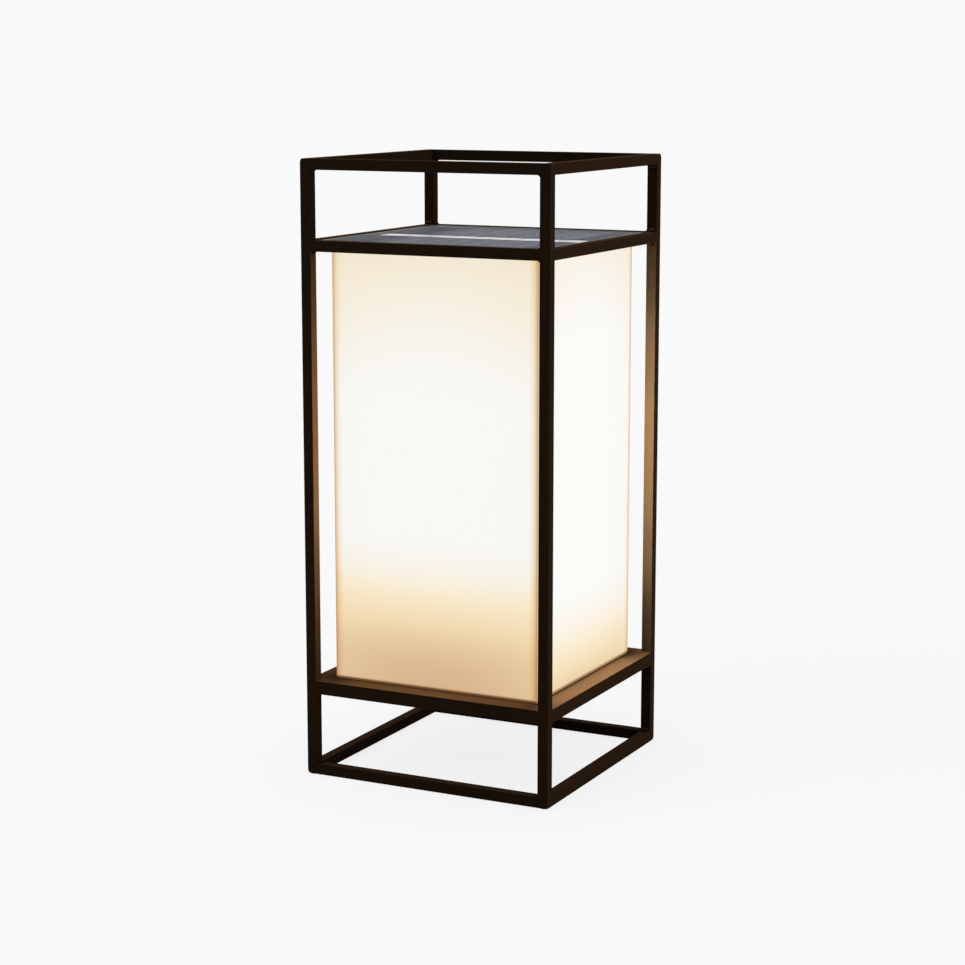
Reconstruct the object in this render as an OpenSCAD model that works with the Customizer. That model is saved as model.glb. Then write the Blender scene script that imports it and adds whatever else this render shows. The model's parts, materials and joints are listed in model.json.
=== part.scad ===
// Solar lantern table lamp: an open frame of square steel bar, and a lift-out light module in it.
// Millimetres, +Z up. The origin is at the bottom centre, and the front looks along -Y.

/* [Frame] */
// Outside width and depth of the frame
frame_w = 200; // [160:1:320]
// Overall height, from the table to the top of the frame
frame_h = 462; // [380:1:620]
// Side of the square bar
bar = 8; // [6:0.5:12]
// Radius of the bar's long edges
bar_edge_r = 1.2; // [0.3:0.1:1.5]
// Height of the shelf rails' underside above the table
shelf_z = 63; // [45:1:100]
// Clear height between the panel ring and the top ring
hand_gap = 51; // [35:1:90]
// Reach of the weld fillets in the corners
weld_leg = 2.5; // [1:0.1:4]
// Thickness of the shelf plate
plate_t = 2; // [1:0.1:4]
// Thickness of the foot pads
pad_t = 0.5; // [0.5:0.1:3]
// Diameter of the foot pads
pad_d = 6.4; // [4:0.1:6.4]

/* [Opal box] */
// Air gap between the rings' inner faces and the opal box
box_gap = 8.5; // [4:0.1:14]
// Thickness of the opal sheets
sheet_t = 3; // [2:0.1:5]
// Glue line between bonded sheets
bond_gap = 0.1; // [0.05:0.01:0.2]
// Thickness of the seal that the opal box stands on
foot_seal_t = 1.5; // [0.5:0.1:2]

/* [Head tray] */
// Clearance round the tray's rim in the rings
lift_gap = 0.3; // [0.2:0.05:1]
// Height of the tray's rim
rim_h = 8; // [7:0.1:12]
// Width of the rim beside the panel
rim_wall = 4; // [3:0.1:6]
// Wall round the hollow under the rim
rim_shell = 2; // [1.2:0.1:2.5]
// Radius of the rim's corners
rim_corner_r = 2; // [0.5:0.1:3]
// Drop of the rim below the top of the panel ring
rim_drop = 0.5; // [0:0.1:2]
// Wall and floor of the tub under the rim
tub_wall = 2; // [1.2:0.1:3]
// Radius of the tub's corners
tub_corner_r = 5; // [1:0.1:8]
// Depth of the groove that holds the opal box
groove_d = 2; // [1:0.1:2.5]
// Thickness of the ribs on the tub's floor
rib_t = 1.6; // [1:0.1:3]
// Height of the ribs on the tub's floor
rib_h = 5; // [2:0.1:9]
// Clearance between pieces that are dropped into each other
fit_gap = 0.3; // [0.1:0.05:0.5]
// Height of the seal above the opal box
seal_t = 0.5; // [0.3:0.1:1]

/* [Solar panel] */
// Drop of the cover glass below the top of the rim
glass_drop = 0.2; // [0:0.1:1]
// Thickness of the cover glass
glass_t = 1; // [0.7:0.1:4]
// Thickness of the solar cells
cell_t = 0.3; // [0.2:0.05:0.5]
// Thickness of the panel's carrier board
board_t = 1.2; // [0.8:0.1:2]
// Number of solar cells along X
cell_cols = 9; // [4:1:14]
// Gap between neighbouring solar cells
cell_gap = 0.6; // [0.3:0.1:2]
// Width of the strip between the two rows of cells
strip_w = 20; // [4:0.5:24]
// Thickness of the cell connectors in the strip
ribbon_t = 0.2; // [0.1:0.05:0.3]

/* [Battery and control board] */
// Diameter of the battery cell
battery_d = 18; // [14:0.5:22]
// Length of the battery cell
battery_l = 65; // [48:1:72]
// Distance of the battery and of the control board from the middle
bay_y = 46; // [42:1:52]
// Length of the control board
pcb_l = 60; // [40:1:80]
// Width of the control board
pcb_w = 32; // [24:1:36]
// Thickness of the control board
pcb_t = 1.6; // [0.8:0.1:2]
// Height of the posts under the control board
pcb_post_h = 5; // [3:0.5:8]
// Diameter of the insulated leads
lead_d = 1.8; // [1:0.1:2.4]

/* [Light column] */
// Side of the square aluminium core
core_w = 30; // [28:0.5:36]
// Wall of the core
core_wall = 1.5; // [1:0.1:2.5]
// Side of the flange at each end of the core
flange_w = 52; // [50:1:60]
// Thickness of the flanges
flange_t = 3; // [2:0.1:5]
// Height of the collar that holds the core
collar_h = 10; // [5:0.5:14]
// Wall of the collar
collar_wall = 2.5; // [1.5:0.1:3]
// Width of an LED strip
strip_led_w = 14; // [10:0.5:20]
// Thickness of an LED strip
strip_led_t = 1.2; // [0.8:0.1:2]
// Distance from the lower collar to the LED strips
strip_low = 52; // [10:1:80]
// Distance from the LED strips to the upper collar
strip_high = 20; // [10:1:60]
// Spacing of the LED chips
chip_pitch = 15; // [8:0.5:30]

/* [Switch] */
// Radius of the switch's bezel under the opal box
bezel_r = 12; // [11:0.1:14]
// Radius of the switch's threaded barrel
barrel_r = 8; // [7.5:0.1:8.5]
// Length of the barrel above the bezel
barrel_l = 17; // [15:0.5:22]
// Width across the flats of the switch nut
nut_af = 19; // [18:0.5:19]
// Radius of the push cap
cap_r = 5.7; // [4.8:0.1:6.2]
// Height of the push cap
cap_h = 2.5; // [2:0.1:4]
// Radius of the push cap's stem
stem_r = 4; // [2.5:0.1:4.2]
// Travel of the push cap
press = 1.5; // [1:0.1:1.5]

/* [Hidden] */
$fn = 64;
// How far a cutting solid reaches past the face that it cuts
EPS = 1;
// Gap that keeps two round or faceted pieces just apart
TOUCH_GAP = 0.1;
LEAD_STEPS = 10;
LEAD_SIDES = 6;
SIDES = ["front", "right", "back", "left"];
CORNERS = ["front_left", "front_right", "back_right", "back_left"];

// Heights of the frame
rail_l = frame_w - 2 * bar;
top_z = frame_h - bar;
panel_z = top_z - hand_gap - bar;
panel_top = panel_z + bar;
plate_z = shelf_z + bar;
plate_top = plate_z + plate_t;
// Each ring of rails: its name, its height, and whether it has fillets above and below
RINGS = [["foot", pad_t, true, false], ["shelf", shelf_z, false, true],
         ["panel", panel_z, true, true], ["top", top_z, false, true]];
pad_r = pad_d / 2;
// Where the arc of a weld fillet is centred, in legs from the corner
fillet_centre = 1.3;

// Opal box
box_w = rail_l - 2 * box_gap;
box_in = box_w - 2 * sheet_t;
floor_w = box_in - 2 * bond_gap;
floor_z = plate_top + foot_seal_t;
floor_top = floor_z + sheet_t;
foot_seal_inset = 0.5;
foot_seal_w = 7.5;
foot_seal_out = box_w - 2 * foot_seal_inset;
foot_seal_in = foot_seal_out - 2 * foot_seal_w;

// Head tray
rim_w = rail_l - 2 * lift_gap;
rim_top = panel_top - rim_drop;
rim_z = rim_top - rim_h;
pocket_w = rim_w - 2 * rim_wall;
stack_t = glass_t + cell_t + board_t + seal_t;
glass_top = rim_top - glass_drop;
pocket_z = glass_top - stack_t;
hollow_h = pocket_z - rim_shell - rim_z;
groove_z = rim_z + groove_d;
tub_w = box_in - 2 * fit_gap;
tub_in = tub_w - 2 * tub_wall;
// Room for the battery cell between the tub's floor and the panel
battery_gap = 1;
tub_floor = pocket_z - battery_d - 2 * battery_gap;
tub_z = tub_floor - tub_wall;
box_top = groove_z - seal_t;
wire_hole_r = 5;

// Solar panel
panel_w = pocket_w - 2 * fit_gap;
seal_z = pocket_z;
board_z = seal_z + seal_t;
cell_z = board_z + board_t;
glass_z = cell_z + cell_t;
panel_edge = 0.8;
cell_field = panel_w - 2 * panel_edge;
cell_pitch = cell_field / cell_cols;
cell_w = cell_pitch - cell_gap;
cell_l = (cell_field - strip_w) / 2;
ribbon_w = strip_w - 2 * cell_gap;

// Battery and control board
battery_z = tub_floor + battery_gap + battery_d / 2;
cradle_x = battery_l / 3;
cradle_side = 3;
cradle_w = battery_d + 2 * cradle_side;
tab_t = 0.5;
tab_w = 9;
pcb_z = tub_floor + pcb_post_h;
pcb_top = pcb_z + pcb_t;
pcb_post_r = 3;
pcb_post_in = 5;
plug_l = 8;
plug_w = 5;
plug_h = 6;
plug_x = pcb_l / 2 - plug_l;
lead_r = lead_d / 2;
lead_z = pcb_top + plug_h / 2;

// Light column
core_z = floor_top + flange_t;
core_top = tub_z - flange_t;
core_in = core_w - 2 * core_wall;
slip_gap = 0.2;
collar_w = core_w + 2 * slip_gap + 2 * collar_wall;
strip_z = core_z + collar_h + strip_low;
strip_top = core_top - collar_h - strip_high;
chip_w = 2.8;
chip_l = 3.5;
chip_t = 0.8;
chip_count = floor((strip_top - strip_z) / chip_pitch);
screw_r = 1.5;
screw_gap = 0.1;
screw_head_r = 2.75;
screw_head_h = 1.8;
screw_depth = 8;
screw_xy = (flange_w / 2 + collar_w / 2) / 2;
boss_r = 3.5;
boss_h = 8;

// Switch
bezel_t = plate_t + foot_seal_t;
nut_t = 3;
recess_r = cap_r + fit_gap;
recess_d = press + fit_gap;
bore_r = stem_r + fit_gap;
stem_l = 6;
bore_spare = 1;
bore_l = stem_l + press + bore_spare;
pin_r = 0.8;
pin_l = 5;
pin_x = 3;
foot_hole_r = nut_af / sqrt(3) + fit_gap;

// ---- Outlines ----

// A rectangle from the origin with four rounded corners
module round_rect(w, h, r) {
  translate([r, 0]) square([w - 2 * r, h]);
  translate([0, r]) square([w, h - 2 * r]);
  for (x = [r, w - r], y = [r, h - r]) translate([x, y]) circle(r);
}

// A centred square with four rounded corners
module round_square(w, r) {
  translate([-w / 2, -w / 2]) round_rect(w, w, r);
}

// What a rounded corner of radius r takes away at the origin, towards +x and -y
module corner_cut(r) {
  difference() {
    translate([-EPS, -r]) square([r + EPS, r + EPS]);
    translate([r, -r]) circle(r);
  }
}

// The side view of a post, with its outer top corner rounded
module post_side(h) {
  difference() {
    square([bar, h]);
    translate([0, h]) corner_cut(bar_edge_r);
  }
}

// A hollow fillet in a corner, with its legs along +x and +y
module fillet_outline(leg) {
  centre = fillet_centre * leg;
  difference() {
    polygon([[0, 0], [leg, 0], [0, leg]]);
    translate([centre, centre]) circle(norm([centre - leg, centre]));
  }
}

// ---- Frame ----

// The post at a corner, counted anticlockwise from the front left
module post(corner) {
  h = frame_h - pad_t;
  color([0.055, 0.045, 0.035]) rotate([0, 0, 90 * corner])
    translate([-frame_w / 2, -frame_w / 2, pad_t]) intersection() {
      linear_extrude(h) round_rect(bar, bar, bar_edge_r);
      translate([0, bar, 0]) rotate([90, 0, 0]) linear_extrude(bar) post_side(h);
      rotate([90, 0, 90]) linear_extrude(bar) post_side(h);
    }
}

// A rail between two posts, on a side counted anticlockwise from the front
module rail(side, z) {
  color([0.06, 0.05, 0.04]) rotate([0, 0, 90 * side])
    translate([-rail_l / 2, -frame_w / 2, z]) rotate([90, 0, 90])
      linear_extrude(rail_l) round_rect(bar, bar, bar_edge_r);
}

// The weld fillets of one ring: up is 1 for those on top of the rails, -1 for those below
module ring_fillets(z, up) {
  fillet_w = bar - 2 * bar_edge_r;
  for (side = [0:3], end = [-1, 1]) rotate([0, 0, 90 * side])
    translate([end * rail_l / 2, -frame_w / 2 + bar_edge_r, z])
      mirror([end > 0 ? 1 : 0, 0, 0]) mirror([0, 0, up > 0 ? 0 : 1])
        translate([0, fillet_w, 0]) rotate([90, 0, 0])
          linear_extrude(fillet_w) fillet_outline(weld_leg);
}

module weld_fillets() {
  color([0.05, 0.04, 0.03]) for (r = RINGS) {
    if (r[2]) ring_fillets(r[1] + bar, 1);
    if (r[3]) ring_fillets(r[1], -1);
  }
}

// The plate that the light module stands on, notched round the posts
module shelf_plate() {
  color([0.07, 0.055, 0.045]) translate([0, 0, plate_z]) linear_extrude(plate_t)
    difference() {
      square(frame_w, center = true);
      for (corner = [0:3]) rotate(90 * corner)
        translate([-frame_w / 2 - EPS, -frame_w / 2 - EPS]) square(bar + EPS);
      circle(bezel_r + fit_gap);
    }
}

module foot_pads() {
  color([0.1, 0.1, 0.1]) for (corner = [0:3]) rotate([0, 0, 90 * corner])
    translate([-frame_w / 2 + bar / 2, -frame_w / 2 + bar / 2, 0]) cylinder(h = pad_t, r = pad_r);
}

// ---- Opal box ----

// One upright sheet with mitred ends, on a side counted anticlockwise from the front
module opal_sheet(side) {
  out = box_w / 2;
  inner = box_in / 2;
  color([0.98, 0.94, 0.85]) rotate([0, 0, 90 * side]) translate([0, 0, floor_z])
    linear_extrude(box_top - floor_z)
      polygon([[-out + bond_gap, -out], [out - bond_gap, -out],
               [inner - bond_gap, -inner], [-inner + bond_gap, -inner]]);
}

// The sheet that closes the box below, drilled for the switch
module opal_floor() {
  color([0.93, 0.86, 0.74]) translate([0, 0, floor_z]) linear_extrude(sheet_t) difference() {
    square(floor_w, center = true);
    circle(barrel_r + fit_gap);
  }
}

// The silicone seal between the box and the shelf plate
module foot_seal() {
  color([0.45, 0.3, 0.18]) translate([0, 0, plate_top]) linear_extrude(foot_seal_t) difference() {
    square(foot_seal_out, center = true);
    square(foot_seal_in, center = true);
  }
}

// The silicone seal between the sheets' top edges and the tray's groove
module box_seal() {
  color([0.45, 0.3, 0.18]) translate([0, 0, box_top]) linear_extrude(seal_t) difference() {
    square(box_w, center = true);
    square(box_in, center = true);
  }
}

// ---- Head tray ----

// The four places of the screws that hold the light column
module at_screws() {
  for (x = [-1, 1], y = [-1, 1]) translate([x * screw_xy, y * screw_xy]) children();
}

// The four places of the posts under the control board
module at_board_posts() {
  for (x = [-1, 1], y = [-1, 1])
    translate([x * (pcb_l / 2 - pcb_post_in), -bay_y + y * (pcb_w / 2 - pcb_post_in)]) children();
}

// The ribs on the tub's floor: a cross between the walls and a frame round the bosses
module tub_ribs() {
  translate([0, 0, tub_floor]) linear_extrude(rib_h) difference() {
    union() {
      for (turn = [0, 90]) rotate(turn) square([tub_in, rib_t], center = true);
      square(2 * screw_xy + rib_t, center = true);
    }
    square(2 * screw_xy - rib_t, center = true);
    at_screws() circle(boss_r - rib_t / 2);
    translate([0, bay_y]) square([2 * cradle_x + rib_t, cradle_w], center = true);
    translate([0, -bay_y]) square([pcb_l, pcb_w], center = true);
  }
}

// Two saddles that carry the battery cell
module battery_cradle() {
  for (x = [-1, 1]) translate([x * cradle_x - rib_t, bay_y, 0]) difference() {
    translate([0, -cradle_w / 2, tub_floor])
      cube([2 * rib_t, cradle_w, battery_gap + battery_d / 2]);
    translate([-EPS, 0, battery_z]) rotate([0, 90, 0])
      cylinder(h = 2 * rib_t + 2 * EPS, r = battery_d / 2 + fit_gap);
  }
}

// The moulded tray: a hollow rim round the panel, a groove for the opal box, and a tub for the electrics
module head_tray() {
  color([0.08, 0.08, 0.085]) {
    difference() {
      union() {
        translate([0, 0, rim_z]) linear_extrude(rim_h) round_square(rim_w, rim_corner_r);
        translate([0, 0, tub_z]) linear_extrude(rim_top - tub_z) round_square(tub_w, tub_corner_r);
      }
      translate([0, 0, pocket_z]) linear_extrude(rim_h) square(pocket_w, center = true);
      translate([0, 0, rim_z - EPS]) linear_extrude(max(hollow_h, 0) + EPS) difference() {
        round_square(rim_w - 2 * rim_shell, rim_corner_r);
        square(box_w + 2 * fit_gap + 2 * rim_shell, center = true);
      }
      translate([0, 0, tub_floor]) linear_extrude(rim_top - tub_z)
        round_square(tub_in, tub_corner_r - tub_wall);
      translate([0, 0, rim_z - EPS]) linear_extrude(groove_d + EPS) difference() {
        square(box_w + 2 * fit_gap, center = true);
        round_square(tub_w, tub_corner_r);
      }
      translate([0, 0, tub_z - EPS]) cylinder(h = tub_wall + 2 * EPS, r = wire_hole_r);
      translate([0, 0, tub_z - EPS]) linear_extrude(tub_wall + 2 * EPS)
        at_screws() circle(screw_r + screw_gap);
    }
    translate([0, 0, tub_floor]) linear_extrude(boss_h) at_screws() difference() {
      circle(boss_r);
      circle(screw_r + screw_gap);
    }
    translate([0, 0, tub_floor]) linear_extrude(pcb_post_h) at_board_posts() circle(pcb_post_r);
    tub_ribs();
    battery_cradle();
  }
}

// ---- Solar panel ----

module panel_seal() {
  color([0.45, 0.3, 0.18]) translate([0, 0, seal_z]) linear_extrude(seal_t) difference() {
    square(panel_w, center = true);
    round_square(tub_in, tub_corner_r - tub_wall);
  }
}

module panel_board() {
  color([0.82, 0.83, 0.84]) translate([0, 0, board_z]) linear_extrude(board_t)
    square(panel_w, center = true);
}

// Two rows of cells on the board
module solar_cells() {
  color([0.16, 0.2, 0.3]) translate([0, 0, cell_z]) linear_extrude(cell_t)
    for (i = [0:cell_cols - 1], row = [-1, 1])
      translate([(i - (cell_cols - 1) / 2) * cell_pitch, row * (strip_w + cell_l) / 2])
        square([cell_w, cell_l], center = true);
}

// Bright connectors between the rows, one for each pair of cells
module cell_connectors() {
  color([0.88, 0.89, 0.9]) translate([0, 0, cell_z]) linear_extrude(ribbon_t)
    for (i = [0:cell_cols - 1])
      translate([(i - (cell_cols - 1) / 2) * cell_pitch, 0])
        square([cell_w - cell_gap, ribbon_w], center = true);
}

module panel_glass() {
  color([0.35, 0.42, 0.5, 0.35]) translate([0, 0, glass_z]) linear_extrude(glass_t)
    square(panel_w, center = true);
}

// ---- Battery and control board ----

module battery_cell() {
  color([0.12, 0.35, 0.25]) translate([-battery_l / 2, bay_y, battery_z]) rotate([0, 90, 0])
    cylinder(h = battery_l, r = battery_d / 2);
}

// Nickel tabs on the two ends of the cell
module battery_tabs() {
  color([0.75, 0.74, 0.7]) for (x = [-battery_l / 2 - tab_t, battery_l / 2])
    translate([x, bay_y - tab_w / 2, battery_z - tab_w / 2]) cube([tab_t, tab_w, tab_w]);
}

module control_board() {
  color([0.05, 0.3, 0.15]) translate([-pcb_l / 2, -bay_y - pcb_w / 2, pcb_z])
    cube([pcb_l, pcb_w, pcb_t]);
}

// The plugs of the leads, the charge chip, a coil and a capacitor
module board_parts() {
  coil_r = 4;
  coil_h = 5;
  can_r = 2.5;
  can_h = 7;
  chip = [6, 5, 1.4];
  color([0.85, 0.84, 0.8]) for (x = [-1, 0, 1])
    translate([x * plug_x - plug_l / 2, -bay_y + pcb_w / 2 - plug_w, pcb_top])
      cube([plug_l, plug_w, plug_h]);
  color([0.1, 0.1, 0.1]) translate([0, -bay_y, pcb_top]) {
    translate([-chip[0] / 2, -chip[1] / 2, 0]) cube(chip);
    translate([-pcb_l / 4, 0, 0]) cylinder(h = coil_h, r = coil_r);
    translate([pcb_l / 4, 0, 0]) cylinder(h = can_h, r = can_r);
  }
}

// Points along a smooth curve with four control points
function curve(p) = [for (i = [0:LEAD_STEPS]) let (t = i / LEAD_STEPS, u = 1 - t)
  u * u * u * p[0] + 3 * u * u * t * p[1] + 3 * u * t * t * p[2] + t * t * t * p[3]];

function unit(v) = v / norm(v);

// The ring of a tube round point i of a path that never runs along X
function ring(path, i) =
  let (last = len(path) - 1, along = unit(path[min(i + 1, last)] - path[max(i - 1, 0)]),
       across = unit(cross(along, [1, 0, 0])), up = cross(along, across))
  [for (k = [0:LEAD_SIDES - 1]) let (a = 360 * k / LEAD_SIDES)
    path[i] + lead_r * (cos(a) * across + sin(a) * up)];

// An insulated lead along a path
module lead(path) {
  n = LEAD_SIDES;
  last = len(path) - 1;
  rings = [for (i = [0:last]) each ring(path, i)];
  walls = [for (i = [0:last - 1], k = [0:n - 1]) let (j = (k + 1) % n) each
    [[i * n + k, i * n + j, (i + 1) * n + j], [i * n + k, (i + 1) * n + j, (i + 1) * n + k]]];
  ends = [[for (k = [n - 1:-1:0]) k], [for (k = [0:n - 1]) last * n + k]];
  polyhedron(rings, concat(walls, ends));
}

// Two leads from the board to the battery, and one down the column to the switch
module leads() {
  start_y = -bay_y + pcb_w / 2 + TOUCH_GAP;
  bend = 30;
  tab_x = battery_l / 2 + tab_t + lead_r + TOUCH_GAP;
  pin_top = floor_z + barrel_l + pin_l + TOUCH_GAP;
  drop = core_top - collar_h;
  mid = (drop + pin_top) / 2;
  color([0.6, 0.1, 0.08]) for (side = [-1, 1])
    lead(curve([[side * plug_x, start_y, lead_z], [side * plug_x, start_y + bend, lead_z],
                [side * tab_x, bay_y - bend, battery_z], [side * tab_x, bay_y, battery_z]]));
  color([0.15, 0.15, 0.15])
    lead(concat(curve([[0, start_y, lead_z], [0, 0, lead_z], [0, 0, lead_z], [0, 0, drop]]),
                curve([[0, 0, drop - EPS], [0, 0, mid], [pin_x, 0, mid], [pin_x, 0, pin_top]])));
}

// ---- Light column ----

// The square aluminium tube that carries the LED strips and takes their heat
module light_core() {
  color([0.75, 0.76, 0.78]) translate([0, 0, core_z]) linear_extrude(core_top - core_z)
    difference() {
      square(core_w, center = true);
      square(core_in, center = true);
    }
}

module led_strips() {
  color([0.95, 0.95, 0.92]) for (side = [0:3]) rotate([0, 0, 90 * side])
    translate([-strip_led_w / 2, -core_w / 2 - strip_led_t, strip_z])
      cube([strip_led_w, strip_led_t, strip_top - strip_z]);
}

module led_chips() {
  chips_z = (strip_z + strip_top - (chip_count - 1) * chip_pitch - chip_l) / 2;
  color([1, 0.85, 0.4]) for (side = [0:3], i = [0:chip_count - 1]) rotate([0, 0, 90 * side])
    translate([-chip_w / 2, -core_w / 2 - strip_led_t - chip_t, chips_z + i * chip_pitch])
      cube([chip_w, chip_t, chip_l]);
}

// The flange and collar at an end of the core, with its flange's outer face at z = 0
module core_end(hole_r) {
  difference() {
    union() {
      linear_extrude(flange_t) round_square(flange_w, rim_corner_r);
      linear_extrude(flange_t + collar_h) square(collar_w, center = true);
    }
    translate([0, 0, flange_t]) linear_extrude(collar_h + EPS)
      square(core_w + 2 * slip_gap, center = true);
    translate([0, 0, -EPS]) cylinder(h = flange_t + 2 * EPS, r = hole_r);
  }
}

module core_foot() {
  color([0.9, 0.9, 0.88]) translate([0, 0, floor_top]) core_end(foot_hole_r);
}

module core_head() {
  color([0.9, 0.9, 0.88]) translate([0, 0, tub_z]) mirror([0, 0, 1]) difference() {
    core_end(wire_hole_r);
    translate([0, 0, -EPS]) linear_extrude(flange_t + 2 * EPS)
      at_screws() circle(screw_r + screw_gap);
  }
}

module core_screws() {
  color([0.7, 0.7, 0.72]) translate([0, 0, tub_z - flange_t]) at_screws() {
    translate([0, 0, -screw_head_h]) cylinder(h = screw_head_h, r = screw_head_r);
    cylinder(h = flange_t + screw_depth, r = screw_r);
  }
}

// ---- Switch ----

// The bezel in the shelf plate's hole, and the barrel up through the box's floor
module switch_body() {
  color([0.1, 0.1, 0.1]) difference() {
    union() {
      translate([0, 0, floor_z - bezel_t]) cylinder(h = bezel_t, r = bezel_r);
      translate([0, 0, floor_z - bezel_t]) cylinder(h = bezel_t + barrel_l, r = barrel_r);
    }
    translate([0, 0, plate_z - EPS]) cylinder(h = recess_d + EPS, r = recess_r);
    translate([0, 0, plate_z]) cylinder(h = recess_d + bore_l, r = bore_r);
  }
  color([0.8, 0.7, 0.4]) for (x = [-pin_x, pin_x]) translate([x, 0, floor_z + barrel_l])
    cylinder(h = pin_l, r = pin_r);
}

module switch_nut() {
  color([0.2, 0.2, 0.2]) translate([0, 0, floor_top]) difference() {
    cylinder(h = nut_t, r = nut_af / sqrt(3), $fn = 6);
    translate([0, 0, -EPS]) cylinder(h = nut_t + 2 * EPS, r = barrel_r + slip_gap);
  }
}

// The push cap: its face looks down, and its stem runs in the barrel's bore
module switch_cap() {
  color([0.15, 0.15, 0.15]) {
    translate([0, 0, plate_z - cap_h]) cylinder(h = cap_h, r = cap_r);
    translate([0, 0, plate_z - cap_h]) cylinder(h = cap_h + stem_l, r = stem_r);
  }
}

// ---- Nodes ----

for (i = [0:3]) {
  post(i);
  opal_sheet(i);
  for (r = RINGS)
    rail(i, r[1]);
}
weld_fillets();
shelf_plate();
foot_pads();
opal_floor();
foot_seal();
box_seal();
head_tray();
panel_seal();
panel_board();
solar_cells();
cell_connectors();
panel_glass();
battery_cell();
battery_tabs();
control_board();
board_parts();
leads();
light_core();
led_strips();
led_chips();
core_foot();
core_head();
core_screws();
switch_body();
switch_nut();
switch_cap();
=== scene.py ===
"""The looks of the solar lantern table lamp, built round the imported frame.

Metres, +Z up, the front looks along -Y. Every size and place is read from the frame's own nodes.
"""

import json
import math

import bmesh
import bpy
from mathutils import Matrix, Vector

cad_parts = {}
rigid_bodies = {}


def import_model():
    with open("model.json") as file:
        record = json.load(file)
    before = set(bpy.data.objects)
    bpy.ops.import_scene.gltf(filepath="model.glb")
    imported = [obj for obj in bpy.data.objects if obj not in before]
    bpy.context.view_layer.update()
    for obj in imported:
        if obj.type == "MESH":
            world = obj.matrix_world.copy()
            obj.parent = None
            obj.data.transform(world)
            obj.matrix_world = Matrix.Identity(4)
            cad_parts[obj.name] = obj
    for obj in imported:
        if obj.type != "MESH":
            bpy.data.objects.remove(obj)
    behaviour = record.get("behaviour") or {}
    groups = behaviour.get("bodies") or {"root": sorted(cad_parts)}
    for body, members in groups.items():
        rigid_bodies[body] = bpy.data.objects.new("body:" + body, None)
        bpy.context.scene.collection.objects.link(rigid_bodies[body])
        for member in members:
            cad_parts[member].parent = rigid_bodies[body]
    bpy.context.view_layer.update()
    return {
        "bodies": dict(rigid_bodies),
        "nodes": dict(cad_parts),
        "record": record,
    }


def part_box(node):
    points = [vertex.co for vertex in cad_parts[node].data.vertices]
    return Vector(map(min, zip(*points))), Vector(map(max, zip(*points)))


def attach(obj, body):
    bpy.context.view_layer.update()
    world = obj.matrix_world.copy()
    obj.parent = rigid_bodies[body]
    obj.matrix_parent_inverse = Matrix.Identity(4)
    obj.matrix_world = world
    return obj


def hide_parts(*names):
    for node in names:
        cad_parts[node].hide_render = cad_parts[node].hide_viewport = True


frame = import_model()
NODES = frame["nodes"]
MM = 0.001
CELL_COLUMNS = 9
# Width of the bars' rounded long edges, and how far the rounding of the frame's outer tips reaches
BAR_EDGE = 0.8 * MM
TIP_REACH = 3.4 * MM
SIDES = ("front", "right", "back", "left")
CORNERS = ("front_left", "front_right", "back_right", "back_left")
RINGS = ("foot", "shelf", "panel", "top")

# ---- Camera, at the photograph's viewing angle ----

CAMERA_PLACE = Vector((0.7851, -1.5735, 0.5316))
CAMERA_YAW = math.radians(26.58)
CAMERA_PITCH = math.radians(10.18)
CAMERA_LENS = 87.65
SENSOR = 36.0

# ---- Light ----

# Grey level of the backdrop, as the camera, a reflection and a view through glass show it
BACKDROP = 0.947
# Part of the floor's look that stays lit, and so keeps the shadow
FLOOR_LIT = 0.12
# Strength of the even light from all round
ROOM_LIGHT = 0.86
# The large soft lamp over the left shoulder
KEY_LAMP = {
    "place": (-1.1, -1.3, 1.7),
    "direction": (1.1, 1.3, -1.45),
    "size": (1.2, 1.2),
    "power": 13.0,
    "colour": (1.0, 0.99, 0.97),
}
# The light that each face of the opal box throws on the dark frame: its colour, how far the middle of
# the lowest band lies towards the right in mm, and the radiance of equal bands from the foot up
GLOW = {
    "front": ((1.0, 0.84, 0.55), 6.0, (5.5, 9.0, 28.0, 24.0, 14.0, 4.0)),
    "right": ((1.0, 0.96, 0.77), -8.0, (15.0, 54.0, 100.0, 122.0, 68.0, 12.0)),
    "back": ((1.0, 0.84, 0.55), 0.0, (5.0, 7.5, 28.0, 25.0, 15.0, 5.0)),
    "left": ((1.0, 0.84, 0.55), 0.0, (1.5, 7.5, 28.0, 25.0, 15.0, 5.0)),
}
# Part of a face's width that throws this light, in the lowest band and in the others
GLOW_WIDTHS = (0.9, 0.98)
# Watts of an area lamp for each square metre and unit of radiance
LAMP_WATTS = 4.0

# ---- Colours, as they render under the room light ----

COAT = (0.0058, 0.0036, 0.002)
COAT_SHEEN = (1.0, 0.52, 0.26)
# The opal's own light, from the foot to the middle, and its tint at the head
AMBER = (0.69, 0.46, 0.262)
HONEY = (0.88, 0.695, 0.43)
STRAW = (0.945, 0.82, 0.595)
CREAM = (0.945, 0.895, 0.80)
WHITE = (0.947, 0.947, 0.94)
HEAD_TINT = (0.97, 0.865, 0.67)
# The opal's light by its level
OPAL_LIGHT = [(0.0, AMBER), (0.29, HONEY), (0.555, STRAW), (0.755, CREAM), (0.975, WHITE)]
# How far an upright edge of the opal reaches inwards, and what is left of the light there, by parts of that
EDGE_REACH = 7 * MM
EDGE_FADE = [
    (0.0, (0.52, 0.36, 0.22)),
    (0.17, (0.79, 0.61, 0.46)),
    (0.3, (0.9, 0.75, 0.61)),
    (0.55, (0.97, 0.89, 0.79)),
    (1.0, (1.0, 1.0, 1.0)),
]
# The opal's light in the thin line at its foot
FOOT_LINE = (0.42, 0.24, 0.11)
# Light that seeps through the foot seal at the front and back, and at the sides
SEEP = ((0.09, 0.038, 0.012), (0.3, 0.18, 0.075))


# ---- Node graphs ----


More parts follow.
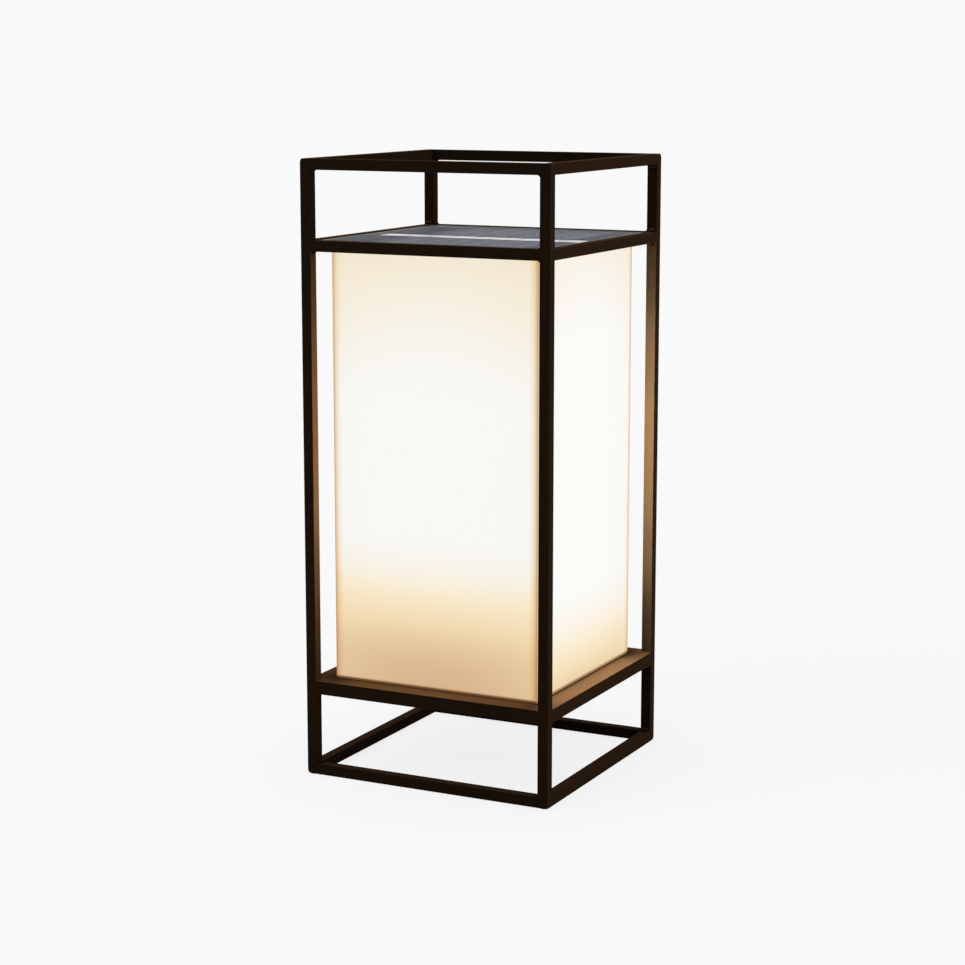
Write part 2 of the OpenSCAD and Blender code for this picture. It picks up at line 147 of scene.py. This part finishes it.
class Graph:
    """The node graph of a material or a world, with short calls for the nodes that are used here."""

    def __init__(self, name, home=bpy.data.materials):
        self.owner = home.new(name)
        self.owner.use_nodes = True
        self.tree = self.owner.node_tree
        self.tree.nodes.clear()
        self.place = self.add("ShaderNodeTexCoord").outputs["Object"]

    def add(self, kind, inputs=(), **settings):
        node = self.tree.nodes.new(kind)
        for key, value in settings.items():
            setattr(node, key, value)
        for key, value in dict(inputs).items():
            self.feed(node.inputs[key], value)
        return node

    def feed(self, socket, value):
        if isinstance(value, bpy.types.NodeSocket):
            self.tree.links.new(value, socket)
        elif hasattr(value, "__len__") and len(value) == 3 and socket.type == "RGBA":
            socket.default_value = (*value, 1.0)
        else:
            socket.default_value = value

    def maths(self, operation, *values):
        return self.add("ShaderNodeMath", enumerate(values), operation=operation).outputs[0]

    def smooth(self, value, low, high, out_low=0.0, out_high=1.0):
        """Goes smoothly from out_low to out_high while value goes from low to high."""
        inputs = {"Value": value, "From Min": low, "From Max": high, "To Min": out_low, "To Max": out_high}
        return self.add("ShaderNodeMapRange", inputs, interpolation_type="SMOOTHSTEP").outputs[0]

    def linear(self, value, low, high, out_low=0.0, out_high=1.0):
        inputs = {"Value": value, "From Min": low, "From Max": high, "To Min": out_low, "To Max": out_high}
        return self.add("ShaderNodeMapRange", inputs).outputs[0]

    def mix(self, factor, a, b, blend="MIX"):
        node = self.add("ShaderNodeMix", data_type="RGBA", blend_type=blend)
        self.feed(node.inputs[0], factor)
        self.feed(node.inputs[6], a)
        self.feed(node.inputs[7], b)
        return node.outputs[2]

    def noise(self, scale, detail=2.0, stretch=(1.0, 1.0, 1.0)):
        vector = self.add("ShaderNodeMapping", {"Vector": self.place, "Scale": stretch}).outputs[0]
        inputs = {"Vector": vector, "Scale": scale, "Detail": detail}
        return self.add("ShaderNodeTexNoise", inputs).outputs["Fac"]

    def xyz(self):
        return self.add("ShaderNodeSeparateXYZ", {"Vector": self.place}).outputs

    def seen(self):
        """1 for what is seen, directly, mirrored or through glass, and 0 for what only lights something."""
        path = self.add("ShaderNodeLightPath").outputs
        seen = self.maths("MAXIMUM", path["Is Camera Ray"], path["Is Glossy Ray"])
        return self.maths("MAXIMUM", seen, path["Is Transmission Ray"])

    def bump(self, height, depth, strength=1.0):
        inputs = {"Height": height, "Distance": depth, "Strength": strength}
        return self.add("ShaderNodeBump", inputs).outputs[0]

    def ramp(self, factor, stops):
        node = self.add("ShaderNodeValToRGB", {"Fac": factor})
        elements = node.color_ramp.elements
        while len(elements) < len(stops):
            elements.new(1.0)
        for element, (position, colour) in zip(elements, stops):
            element.position = position
            element.color = (*colour, 1.0)
        return node.outputs[0]

    def surface(self, shader, output="ShaderNodeOutputMaterial"):
        self.tree.links.new(shader, self.add(output).inputs["Surface"])
        return self.owner

    def principled(self, **values):
        inputs = {key.replace("_", " "): value for key, value in values.items()}
        return self.surface(self.add("ShaderNodeBsdfPrincipled", inputs).outputs[0])


def shade(colour, factor):
    return tuple(c * factor for c in colour)


def finish(name, colour, rough, specular=0.5, grain=(900, 0.04 * MM)):
    """A surface with a fine grain, given by its scale and depth, and slow changes of colour and gloss."""
    graph = Graph(name)
    slow = graph.noise(60)
    fine = graph.noise(grain[0], detail=4.0)
    return graph.principled(
        Base_Color=graph.mix(slow, shade(colour, 0.85), shade(colour, 1.15)),
        Roughness=graph.linear(slow, 0.3, 0.7, rough * 0.88, rough * 1.12),
        Specular_IOR_Level=specular,
        Normal=graph.bump(fine, grain[1]),
    )


def brushed(name, colour, rough, along):
    """Metal with fine lines drawn along one axis."""
    graph = Graph(name)
    stretch = tuple(0.02 if axis == along else 1.0 for axis in "xyz")
    lines = graph.noise(3000, detail=3.0, stretch=stretch)
    return graph.principled(
        Base_Color=graph.mix(lines, shade(colour, 0.85), colour),
        Roughness=graph.linear(lines, 0.3, 0.7, rough * 0.8, rough * 1.2),
        Metallic=1.0,
        Normal=graph.bump(lines, 0.01 * MM),
    )


# ---- Materials ----


def coat_material():
    """Bronze-black powder coat: an orange-peel skin with tiny bright flecks and a few dull streaks."""
    graph = Graph("powder_coat")
    peel = graph.noise(700, detail=3.0)
    slow = graph.noise(35, detail=3.0, stretch=(1.0, 1.0, 0.4))
    fleck = graph.smooth(graph.noise(2600, detail=1.0), 0.66, 0.74)
    base = graph.mix(slow, shade(COAT, 0.8), shade(COAT, 1.3))
    return graph.principled(
        Base_Color=graph.mix(fleck, base, shade(COAT, 3.0)),
        Roughness=graph.linear(slow, 0.3, 0.7, 0.52, 0.66),
        Specular_IOR_Level=0.0,
        Sheen_Weight=0.085,
        Sheen_Roughness=0.5,
        Sheen_Tint=(*COAT_SHEEN, 1.0),
        Normal=graph.bump(peel, 0.12 * MM, 0.55),
    )


class Glow:
    """How the opal box shines. Heights are parts of the opal sheets' height."""

    low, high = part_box("opal_sheet_front")
    foot, tall = low.z, high.z - low.z
    half = -low.y
    # Where the light has risen from the foot to its full strength, and where the tint of the head sets in
    rise = (0.02, 0.39)
    fall = (0.66, 1.1)
    # The side faces are lit lower down and higher up than the front and the back are
    side_rise = 43 * MM
    side_fall = -34 * MM
    # What a point at an upright edge adds to its height, for the light's rise and for the tint
    edge_rise = -6 * MM
    edge_fall = 22 * MM
    # Light that the foot keeps at an upright edge, and the part of all light that an upright edge keeps
    corner = 0.14
    edge = 0.8
    # Where the thin line at the foot fades, above the foot
    foot_line = (0.1 * MM, 1.4 * MM)
    # Strength that brings the colours above to the levels at which they are written
    strength = 0.925

    @classmethod
    def height(cls, part):
        return cls.foot + part * cls.tall


def opal_material():
    """Satin opal sheet, lit from inside: white behind the lamp column, cream above it, amber below."""
    graph = Graph("opal_sheet")
    x, y, z = graph.xyz()
    x, y = graph.maths("ABSOLUTE", x), graph.maths("ABSOLUTE", y)
    across = graph.maths("MINIMUM", x, y)
    side = graph.maths("GREATER_THAN", x, y)
    bow = graph.maths("POWER", graph.maths("DIVIDE", across, Glow.half), 2.0)
    lower = graph.maths("MULTIPLY_ADD", bow, Glow.edge_rise, z)
    lower = graph.maths("MULTIPLY_ADD", side, Glow.side_rise, lower)
    upper = graph.maths("MULTIPLY_ADD", bow, Glow.edge_fall, z)
    upper = graph.maths("MULTIPLY_ADD", side, Glow.side_fall, upper)
    rise = graph.smooth(lower, *map(Glow.height, Glow.rise))
    fall = graph.smooth(upper, *map(Glow.height, Glow.fall))
    corner = graph.maths("MULTIPLY", bow, graph.maths("SUBTRACT", 1.0, rise))
    edge = graph.smooth(across, Glow.half - EDGE_REACH, Glow.half, 1.0, Glow.edge)
    cloud = graph.linear(graph.noise(14), 0.3, 0.7, 1.0, 1.04)
    level = graph.maths("MULTIPLY_ADD", corner, Glow.corner, graph.maths("MULTIPLY", rise, cloud))
    light = graph.ramp(graph.maths("MULTIPLY", level, edge), OPAL_LIGHT)
    tint = graph.mix(fall, (1.0, 1.0, 1.0), HEAD_TINT)
    light = graph.mix(1.0, light, tint, blend="MULTIPLY")
    # The light turns warmer and weaker towards the upright edges, and in a thin line at the foot
    inwards = graph.linear(graph.maths("SUBTRACT", Glow.half, across), 0.0, EDGE_REACH)
    light = graph.mix(1.0, light, graph.ramp(inwards, EDGE_FADE), blend="MULTIPLY")
    brink = graph.smooth(graph.maths("SUBTRACT", z, Glow.foot), *Glow.foot_line, 1.0, 0.0)
    light = graph.mix(brink, light, FOOT_LINE)
    return graph.principled(
        Base_Color=(0.06, 0.05, 0.035),
        Roughness=graph.linear(graph.noise(400), 0.3, 0.7, 0.34, 0.42),
        Specular_IOR_Level=0.12,
        Emission_Color=light,
        Emission_Strength=Glow.strength,
        Normal=graph.bump(graph.noise(1500, detail=3.0), 0.02 * MM),
    )


def seal_material():
    """Translucent amber silicone. Under the box it passes some light on, more of it at the sides."""
    graph = Graph("seal_silicone")
    x, y, _ = graph.xyz()
    side = graph.maths("GREATER_THAN", graph.maths("ABSOLUTE", x), graph.maths("ABSOLUTE", y))
    cloud = graph.noise(60)
    return graph.principled(
        Base_Color=graph.mix(cloud, (0.13, 0.052, 0.014), (0.17, 0.07, 0.02)),
        Roughness=graph.linear(cloud, 0.3, 0.7, 0.54, 0.66),
        Specular_IOR_Level=0.2,
        Emission_Color=graph.mix(side, *SEEP),
        Emission_Strength=1.0,
        Normal=graph.bump(graph.noise(1500, detail=4.0), 0.05 * MM),
    )


def cell_material():
    """Crystalline solar cells: grains of slightly different blue, fine silver fingers and a busbar."""
    low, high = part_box("solar_cells")
    pitch = (high.x - low.x) / CELL_COLUMNS
    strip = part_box("cell_connectors")[1].y
    # How far the shade beside the connectors reaches
    shade_reach = 10 * MM
    # Half the pitch of the fingers, and where a finger and a busbar fade, from their middle lines
    half_pitch = 0.9 * MM
    finger_fade = (0.04 * MM, 0.09 * MM)
    bar_fade = (0.3 * MM, 0.45 * MM)
    graph = Graph("solar_cell")
    x, y, _ = graph.xyz()
    grains = graph.add("ShaderNodeTexVoronoi", {"Vector": graph.place, "Scale": 180}).outputs["Color"]
    grain = graph.add("ShaderNodeSeparateColor", {"Color": grains}).outputs[0]
    blue = graph.mix(grain, (0.133, 0.14, 0.182), (0.156, 0.163, 0.208))
    light = graph.smooth(graph.maths("ABSOLUTE", y), strip, strip + shade_reach, 0.4, 1.0)
    blue = graph.mix(light, (0.0, 0.0, 0.0), blue)
    finger = graph.smooth(graph.maths("PINGPONG", y, half_pitch), *finger_fade, 1.0, 0.0)
    bar = graph.maths("PINGPONG", graph.maths("SUBTRACT", x, low.x + pitch / 2), pitch / 2)
    bar = graph.smooth(bar, *bar_fade, 1.0, 0.0)
    silver = graph.maths("MAXIMUM", graph.maths("MULTIPLY", finger, 0.6), graph.maths("MULTIPLY", bar, 0.7))
    return graph.principled(
        Base_Color=graph.mix(silver, blue, (0.42, 0.43, 0.45)),
        Roughness=0.6,
        Specular_IOR_Level=0.1,
        Normal=graph.bump(grain, 0.01 * MM),
    )


def board_material():
    """The panel's backing: dark between the cells, with a pale printed line round their field."""
    field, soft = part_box("solar_cells")[1].x, 0.1 * MM
    graph = Graph("panel_backing")
    x, y, _ = graph.xyz()
    out = graph.maths("MAXIMUM", graph.maths("ABSOLUTE", x), graph.maths("ABSOLUTE", y))
    line = graph.smooth(out, field - soft, field + soft)
    speck = graph.noise(900, detail=3.0)
    dark = graph.mix(speck, (0.03, 0.034, 0.045), (0.045, 0.05, 0.065))
    return graph.principled(
        Base_Color=graph.mix(line, dark, (0.3, 0.3, 0.285)),
        Roughness=graph.linear(speck, 0.3, 0.7, 0.5, 0.6),
        Specular_IOR_Level=0.2,
    )


def glass_material():
    """Clear cover glass over the cells, with a fine matt skin against glare."""
    graph = Graph("cover_glass")
    skin = graph.noise(1500)
    haze = graph.noise(20)
    return graph.principled(
        Base_Color=graph.mix(haze, (0.17, 0.18, 0.205), (0.19, 0.2, 0.225)),
        Roughness=graph.linear(haze, 0.3, 0.7, 0.5, 0.56),
        Alpha=0.07,
        Specular_IOR_Level=0.3,
        Normal=graph.bump(skin, 0.02 * MM),
    )


def ribbon_material():
    """Tinned copper ribbon, hammered slightly by the soldering, with darker patches across it that paint
    breaks in its bright reflection.
    """
    graph = Graph("tinned_ribbon")
    dents = graph.noise(260, detail=3.0)
    fine = graph.noise(2500)
    # Painted reflection: darker patches across the bright ribbon stand in for breaks in its reflection
    dull = graph.smooth(graph.noise(120, detail=1.0, stretch=(1.0, 0.3, 1.0)), 0.58, 0.66)
    bright = graph.mix(dents, (0.95, 0.96, 0.98), (1.0, 1.0, 1.0))
    return graph.principled(
        Base_Color=graph.mix(dull, bright, (0.5, 0.51, 0.53)),
        Roughness=graph.linear(fine, 0.3, 0.7, 0.3, 0.42),
        Metallic=0.2,
        Normal=graph.bump(dents, 0.04 * MM),
    )


def chip_material():
    """LED phosphor, which glows a little by itself."""
    graph = Graph("led_phosphor")
    spot = graph.noise(800)
    return graph.principled(
        Base_Color=graph.mix(spot, (0.9, 0.7, 0.25), (1.0, 0.85, 0.4)),
        Roughness=0.4,
        Emission_Color=(1.0, 0.85, 0.6),
        Emission_Strength=2.0,
    )


def make_materials():
    """The material of each slot in the record."""
    return {
        "frame_coat": coat_material(),
        "pad_rubber": finish("pad_rubber", (0.02, 0.02, 0.02), 0.8, specular=0.3),
        "opal": opal_material(),
        "seal_silicone": seal_material(),
        "tray_plastic": finish(
            "tray_plastic", (0.1, 0.095, 0.082), 0.4, specular=0.4, grain=(1300, 0.03 * MM)
        ),
        "panel_white": board_material(),
        "cell_blue": cell_material(),
        "tinned_metal": ribbon_material(),
        "cover_glass": glass_material(),
        "battery_wrap": finish("battery_wrap", (0.03, 0.16, 0.1), 0.3, grain=(500, 0.02 * MM)),
        "circuit_green": finish("circuit_green", (0.01, 0.08, 0.035), 0.35, grain=(700, 0.03 * MM)),
        "part_plastic": finish("part_plastic", (0.12, 0.12, 0.115), 0.4),
        "lead_sleeve": finish("lead_sleeve", (0.2, 0.03, 0.025), 0.45),
        "core_metal": brushed("core_metal", (0.75, 0.76, 0.78), 0.32, "z"),
        "led_board": finish("led_board", (0.8, 0.8, 0.78), 0.4),
        "led_chip": chip_material(),
        "white_plastic": finish("white_plastic", (0.7, 0.7, 0.68), 0.45),
        "switch_plastic": finish(
            "switch_plastic", (0.014, 0.014, 0.014), 0.5, specular=0.3, grain=(1300, 0.06 * MM)
        ),
        "cap_rubber": finish("cap_rubber", (0.02, 0.02, 0.02), 0.75, specular=0.3),
    }


def dress(obj, material):
    obj.data.materials.clear()
    obj.data.materials.append(material)
    return obj


# ---- Meshes ----


def mesh_object(name, verts, faces, material):
    mesh = bpy.data.meshes.new(name)
    mesh.from_pydata(verts, [], faces)
    mesh.validate()
    build = bmesh.new()
    build.from_mesh(mesh)
    bmesh.ops.recalc_face_normals(build, faces=build.faces)
    build.to_mesh(mesh)
    build.free()
    mesh.shade_smooth()
    obj = bpy.data.objects.new(name, mesh)
    bpy.context.scene.collection.objects.link(obj)
    return dress(obj, material)


def bevel(obj, width):
    tool = obj.modifiers.new("soft_edges", "BEVEL")
    tool.width = width
    tool.segments = 3
    tool.limit_method = "ANGLE"
    tool.angle_limit = math.radians(40)
    tool.harden_normals = True


def grid_solid(name, xs, ys, zs, filled, material):
    """One closed skin round the filled cells of a grid with these cell borders."""
    cells = {
        (i, j, k)
        for i in range(len(xs) - 1)
        for j in range(len(ys) - 1)
        for k in range(len(zs) - 1)
        if filled(i, j, k)
    }
    verts, index, faces = [], {}, []

    def corner(i, j, k):
        if (i, j, k) not in index:
            index[i, j, k] = len(verts)
            verts.append((xs[i], ys[j], zs[k]))
        return index[i, j, k]

    for i, j, k in sorted(cells):
        for axis in range(3):
            for step in (0, 1):
                beside = [i, j, k]
                beside[axis] += 1 if step else -1
                if tuple(beside) in cells:
                    continue
                face = []
                for a, b in ((0, 0), (1, 0), (1, 1), (0, 1)):
                    point = [i, j, k]
                    point[axis] += step
                    point[(axis + 1) % 3] += a
                    point[(axis + 2) % 3] += b
                    face.append(corner(*point))
                faces.append(face)
    return mesh_object(name, verts, faces, material)


def round_tips(obj, corner, bottom, top):
    """Rounds the eight outer tips of the frame, which are ground rounder than the bars' long edges."""
    near = 0.1 * MM
    build = bmesh.new()
    build.from_mesh(obj.data)
    tips = [
        vert
        for vert in build.verts
        if corner.x - abs(vert.co.x) < near
        and corner.y - abs(vert.co.y) < near
        and min(vert.co.z - bottom, top - vert.co.z) < near
    ]
    rounding = {"offset": TIP_REACH, "offset_type": "OFFSET", "segments": 5, "profile": 0.5}
    bmesh.ops.bevel(build, geom=tips, affect="VERTICES", **rounding)
    build.to_mesh(obj.data)
    build.free()


def frame_bars():
    """The welded bars as one piece, because grinding and the coat hide the joints."""
    low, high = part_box("post_front_left")
    edges = [low.x, high.x, -high.x, -low.x]
    rings = [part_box(ring + "_rail_front") for ring in RINGS]
    zs = sorted({round(v, 6) for box in rings for v in (box[0].z, box[1].z)})
    levels = {zs.index(round(box[0].z, 6)) for box in rings}

    def filled(i, j, k):
        on_post = i != 1 and j != 1
        on_rail = (i != 1 or j != 1) and k in levels
        return on_post or on_rail

    bars = grid_solid("frame_bars", edges, edges, zs, filled, MATERIALS["frame_coat"])
    round_tips(bars, Vector((-low.x, -low.y)), zs[0], zs[-1])
    bevel(bars, BAR_EDGE)
    bars.modifiers.new("join_tips", "WELD").merge_threshold = 0.02 * MM
    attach(bars, "frame")
    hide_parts(*["post_" + c for c in CORNERS], *[r + "_rail_" + s for r in RINGS for s in SIDES])
    return bars


def weld_bead(verts, faces, place, leg, width, turn, seed):
    """A hollow bead in a corner: x runs along the rail, y across it and z up or down the post."""
    steps, arcs = 12, 6
    # How deep the bead reaches into the bars, how much smaller it ends, and how much its size wavers
    sink, taper, waver, waves = 0.15 * MM, 0.75, 0.05, 9
    # Where the arc of the hollow is centred, and its radius, in legs
    centre, radius = 1.12, 1.1
    rows = []
    for s in range(steps + 1):
        t = 2 * s / steps - 1
        size = leg * (1 - taper * abs(t) ** 5) * (1 + waver * math.sin(waves * t + seed))
        row = [(-sink, -sink), (size, -sink)]
        for a in range(arcs + 1):
            angle = math.pi / 2 * a / arcs
            across, up = centre - radius * math.cos(angle), centre - radius * math.sin(angle)
            row.append((size * across, size * up))
        row.append((-sink, size))
        rows.append([(u, t * width / 2, w) for u, w in row])
    start = len(verts)
    count = len(rows[0])
    for row in rows:
        verts.extend(tuple(place + turn @ Vector(p)) for p in row)
    for s in range(steps):
        for c in range(count):
            d = (c + 1) % count
            a, b = start + s * count, start + (s + 1) * count
            faces.append((a + c, a + d, b + d, b + c))
    faces.append(tuple(start + c for c in range(count)))
    faces.append(tuple(start + steps * count + c for c in range(count)))


def weld_beads():
    """The beads where the rails meet the posts: above a rail, below it or both, as each ring is welded."""
    low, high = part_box("post_front_left")
    bar = high.x - low.x
    leg, width = 2.4 * MM, bar - 2.0 * MM
    verts, faces = [], []
    for ring, ups in {"foot": (1,), "shelf": (-1,), "panel": (-1, 1), "top": (-1,)}.items():
        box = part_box(ring + "_rail_front")
        for up in ups:
            z = box[1].z if up > 0 else box[0].z
            for side in range(4):
                for end in (-1, 1):
                    spin = Matrix.Rotation(math.pi / 2 * side, 3, "Z")
                    flip = Matrix.Diagonal((-end, 1, up))
                    place = spin @ Vector((end * -high.x, low.x + bar / 2, z))
                    weld_bead(verts, faces, place, leg, width, spin @ flip, side + 2 * end + z)
    beads = mesh_object("weld_beads", verts, faces, MATERIALS["frame_coat"])
    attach(beads, "frame")
    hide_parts("weld_fillets")


def panel_edge():
    """A wall in the pale colour of the panel's backing, round the cover glass in the tray's pocket. It is
    painted light: it lifts the shade in the narrow gap that shows through the glass's edge.
    """
    air, wall, drop = 0.03 * MM, 0.2 * MM, 0.1 * MM
    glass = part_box("panel_glass")[1]
    inner = glass.x + air
    outer = inner + wall
    xs = [-outer, -inner, inner, outer]
    zs = [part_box("panel_board")[1].z, glass.z - drop]
    edge = grid_solid("panel_edge", xs, xs, zs, lambda i, j, k: i != 1 or j != 1, MATERIALS["panel_white"])
    edge.data.shade_flat()
    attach(edge, "light_module")


def turned(name, outline, slot, body, ring=False):
    """A piece turned round the lamp's axis from (radius, height) points: a ring, or a disc closed inside."""
    steps = 72
    verts = []
    for s in range(steps):
        angle = 2 * math.pi * s / steps
        verts.extend((r * math.cos(angle), r * math.sin(angle), z) for r, z in outline)
    count = len(outline)
    faces = []
    for s in range(steps):
        a, b = s * count, (s + 1) % steps * count
        for c in range(count if ring else count - 1):
            d = (c + 1) % count
            faces.append((a + c, a + d, b + d, b + c))
    if not ring:
        faces += [tuple(s * count + end for s in range(steps)) for end in (0, count - 1)]
    piece = mesh_object(name, verts, faces, MATERIALS[slot])
    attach(piece, body)


def switch_faces():
    """The rounded lip on the switch's bezel, and the grooved crown on its push cap. Both look down."""
    # How deep the lip and the crown reach into the pieces that they stand on
    sink = 0.1 * MM
    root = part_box("switch_body")[0].z + sink
    inner, outer, proud, points = 6.4 * MM, 11.6 * MM, 0.9 * MM, 16
    lip = []
    for k in range(points + 1):
        t = k / points
        lip.append((inner + (outer - inner) * t, root - (proud + sink) * math.sin(math.pi * t) ** 0.6))
    turned("switch_lip", lip, "switch_plastic", "light_module", ring=True)

    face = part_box("switch_cap")[0].z
    middle, edge, skin, points = 0.3 * MM, 5.4 * MM, 0.02 * MM, 48
    rise, groove, grooves = 0.7 * MM, 0.16 * MM, 3
    crown = []
    for k in range(points + 1):
        t = k / points
        ripple = groove * (0.5 - 0.5 * math.cos(2 * math.pi * grooves * t))
        crown.append((middle + (edge - middle) * t, face - skin - (rise - ripple) * (1 - t * t)))
    crown += [(edge, face + sink), (middle, face + sink)]
    turned("cap_crown", crown, "cap_rubber", "switch")


# ---- The scene ----


def camera():
    data = bpy.data.cameras.new("camera")
    data.lens = CAMERA_LENS
    data.sensor_width = SENSOR
    data.clip_start = 0.01
    obj = bpy.data.objects.new("camera", data)
    bpy.context.scene.collection.objects.link(obj)
    obj.location = CAMERA_PLACE
    obj.rotation_euler = (math.pi / 2 - CAMERA_PITCH, 0.0, CAMERA_YAW)
    bpy.context.scene.camera = obj


def world():
    """An even pale room. The backdrop's level is for what is seen, and the room light for what is lit."""
    graph = Graph("room", bpy.data.worlds)
    level = graph.linear(graph.seen(), 0.0, 1.0, ROOM_LIGHT, BACKDROP)
    room = graph.add("ShaderNodeBackground", {"Color": (1.0, 1.0, 1.0), "Strength": level}).outputs[0]
    bpy.context.scene.world = graph.surface(room, "ShaderNodeOutputWorld")


def floor():
    """A pale floor that fades into the backdrop, and that isn't seen from below."""
    radius, near, far = 3.0, 0.5, 1.6
    bpy.ops.mesh.primitive_circle_add(vertices=96, radius=radius, fill_type="NGON")
    disc = bpy.context.object
    disc.name = "floor"
    graph = Graph("floor_paper")
    distance = graph.add("ShaderNodeVectorMath", {0: graph.place}, operation="LENGTH").outputs["Value"]
    fade = graph.smooth(distance, near, far)
    behind = graph.add("ShaderNodeNewGeometry").outputs["Backfacing"]
    fade = graph.maths("MAXIMUM", fade, behind)
    grain = graph.mix(graph.noise(300), (0.93,) * 3, (0.95,) * 3)
    paper = graph.add("ShaderNodeBsdfDiffuse", {"Color": grain}).outputs[0]
    white = graph.add("ShaderNodeEmission", {"Color": (BACKDROP,) * 3}).outputs[0]
    blank = graph.maths("MULTIPLY", graph.seen(), 1 - FLOOR_LIT)
    paper = graph.add("ShaderNodeMixShader", {0: blank, 1: paper, 2: white}).outputs[0]
    clear = graph.add("ShaderNodeBsdfTransparent").outputs[0]
    dress(disc, graph.surface(graph.add("ShaderNodeMixShader", {0: fade, 1: paper, 2: clear}).outputs[0]))


def area_lamp(name, place, direction, size, power, colour):
    data = bpy.data.lights.new(name, "AREA")
    data.shape = "RECTANGLE"
    data.size, data.size_y = size
    data.energy = power
    data.color = colour
    lamp = bpy.data.objects.new(name, data)
    bpy.context.scene.collection.objects.link(lamp)
    lamp.location = place
    lamp.rotation_mode = "QUATERNION"
    lamp.rotation_quaternion = Vector(direction).to_track_quat("-Z", "Y")
    return lamp


def glow(receivers):
    """What the lit box throws on the frame: bands of light just outside each opal face."""
    lit = bpy.data.collections.new("lit_by_glow")
    for obj in receivers:
        lit.objects.link(obj)
    proud = 0.4 * MM
    for i, name in enumerate(SIDES):
        colour, aside, radiances = GLOW[name]
        spin = Matrix.Rotation(math.pi / 2 * i, 3, "Z")
        band = Glow.tall / len(radiances)
        for k, radiance in enumerate(radiances):
            width = 2 * Glow.half * GLOW_WIDTHS[k > 0]
            middle = 0.0 if k else aside * MM
            place = spin @ Vector((middle, -Glow.half - proud, Glow.foot + (k + 0.5) * band))
            power = radiance * LAMP_WATTS * width * band
            outwards = spin @ Vector((0, -1, 0))
            lamp = area_lamp(f"glow_{name}_{k}", place, outwards, (width, band), power, colour)
            lamp.visible_camera = False
            lamp.light_linking.receiver_collection = lit
            lamp.parent = frame["bodies"]["light_module"]


camera()
world()
floor()
MATERIALS = make_materials()
for part in frame["record"]["subparts"]:
    dress(NODES[part["node"]], MATERIALS[part["material_slot"]])
bars = frame_bars()
weld_beads()
panel_edge()
switch_faces()
area_lamp("key", **KEY_LAMP)
glow([bars, NODES["shelf_plate"]])
bpy.context.scene.view_settings.view_transform = "Standard"
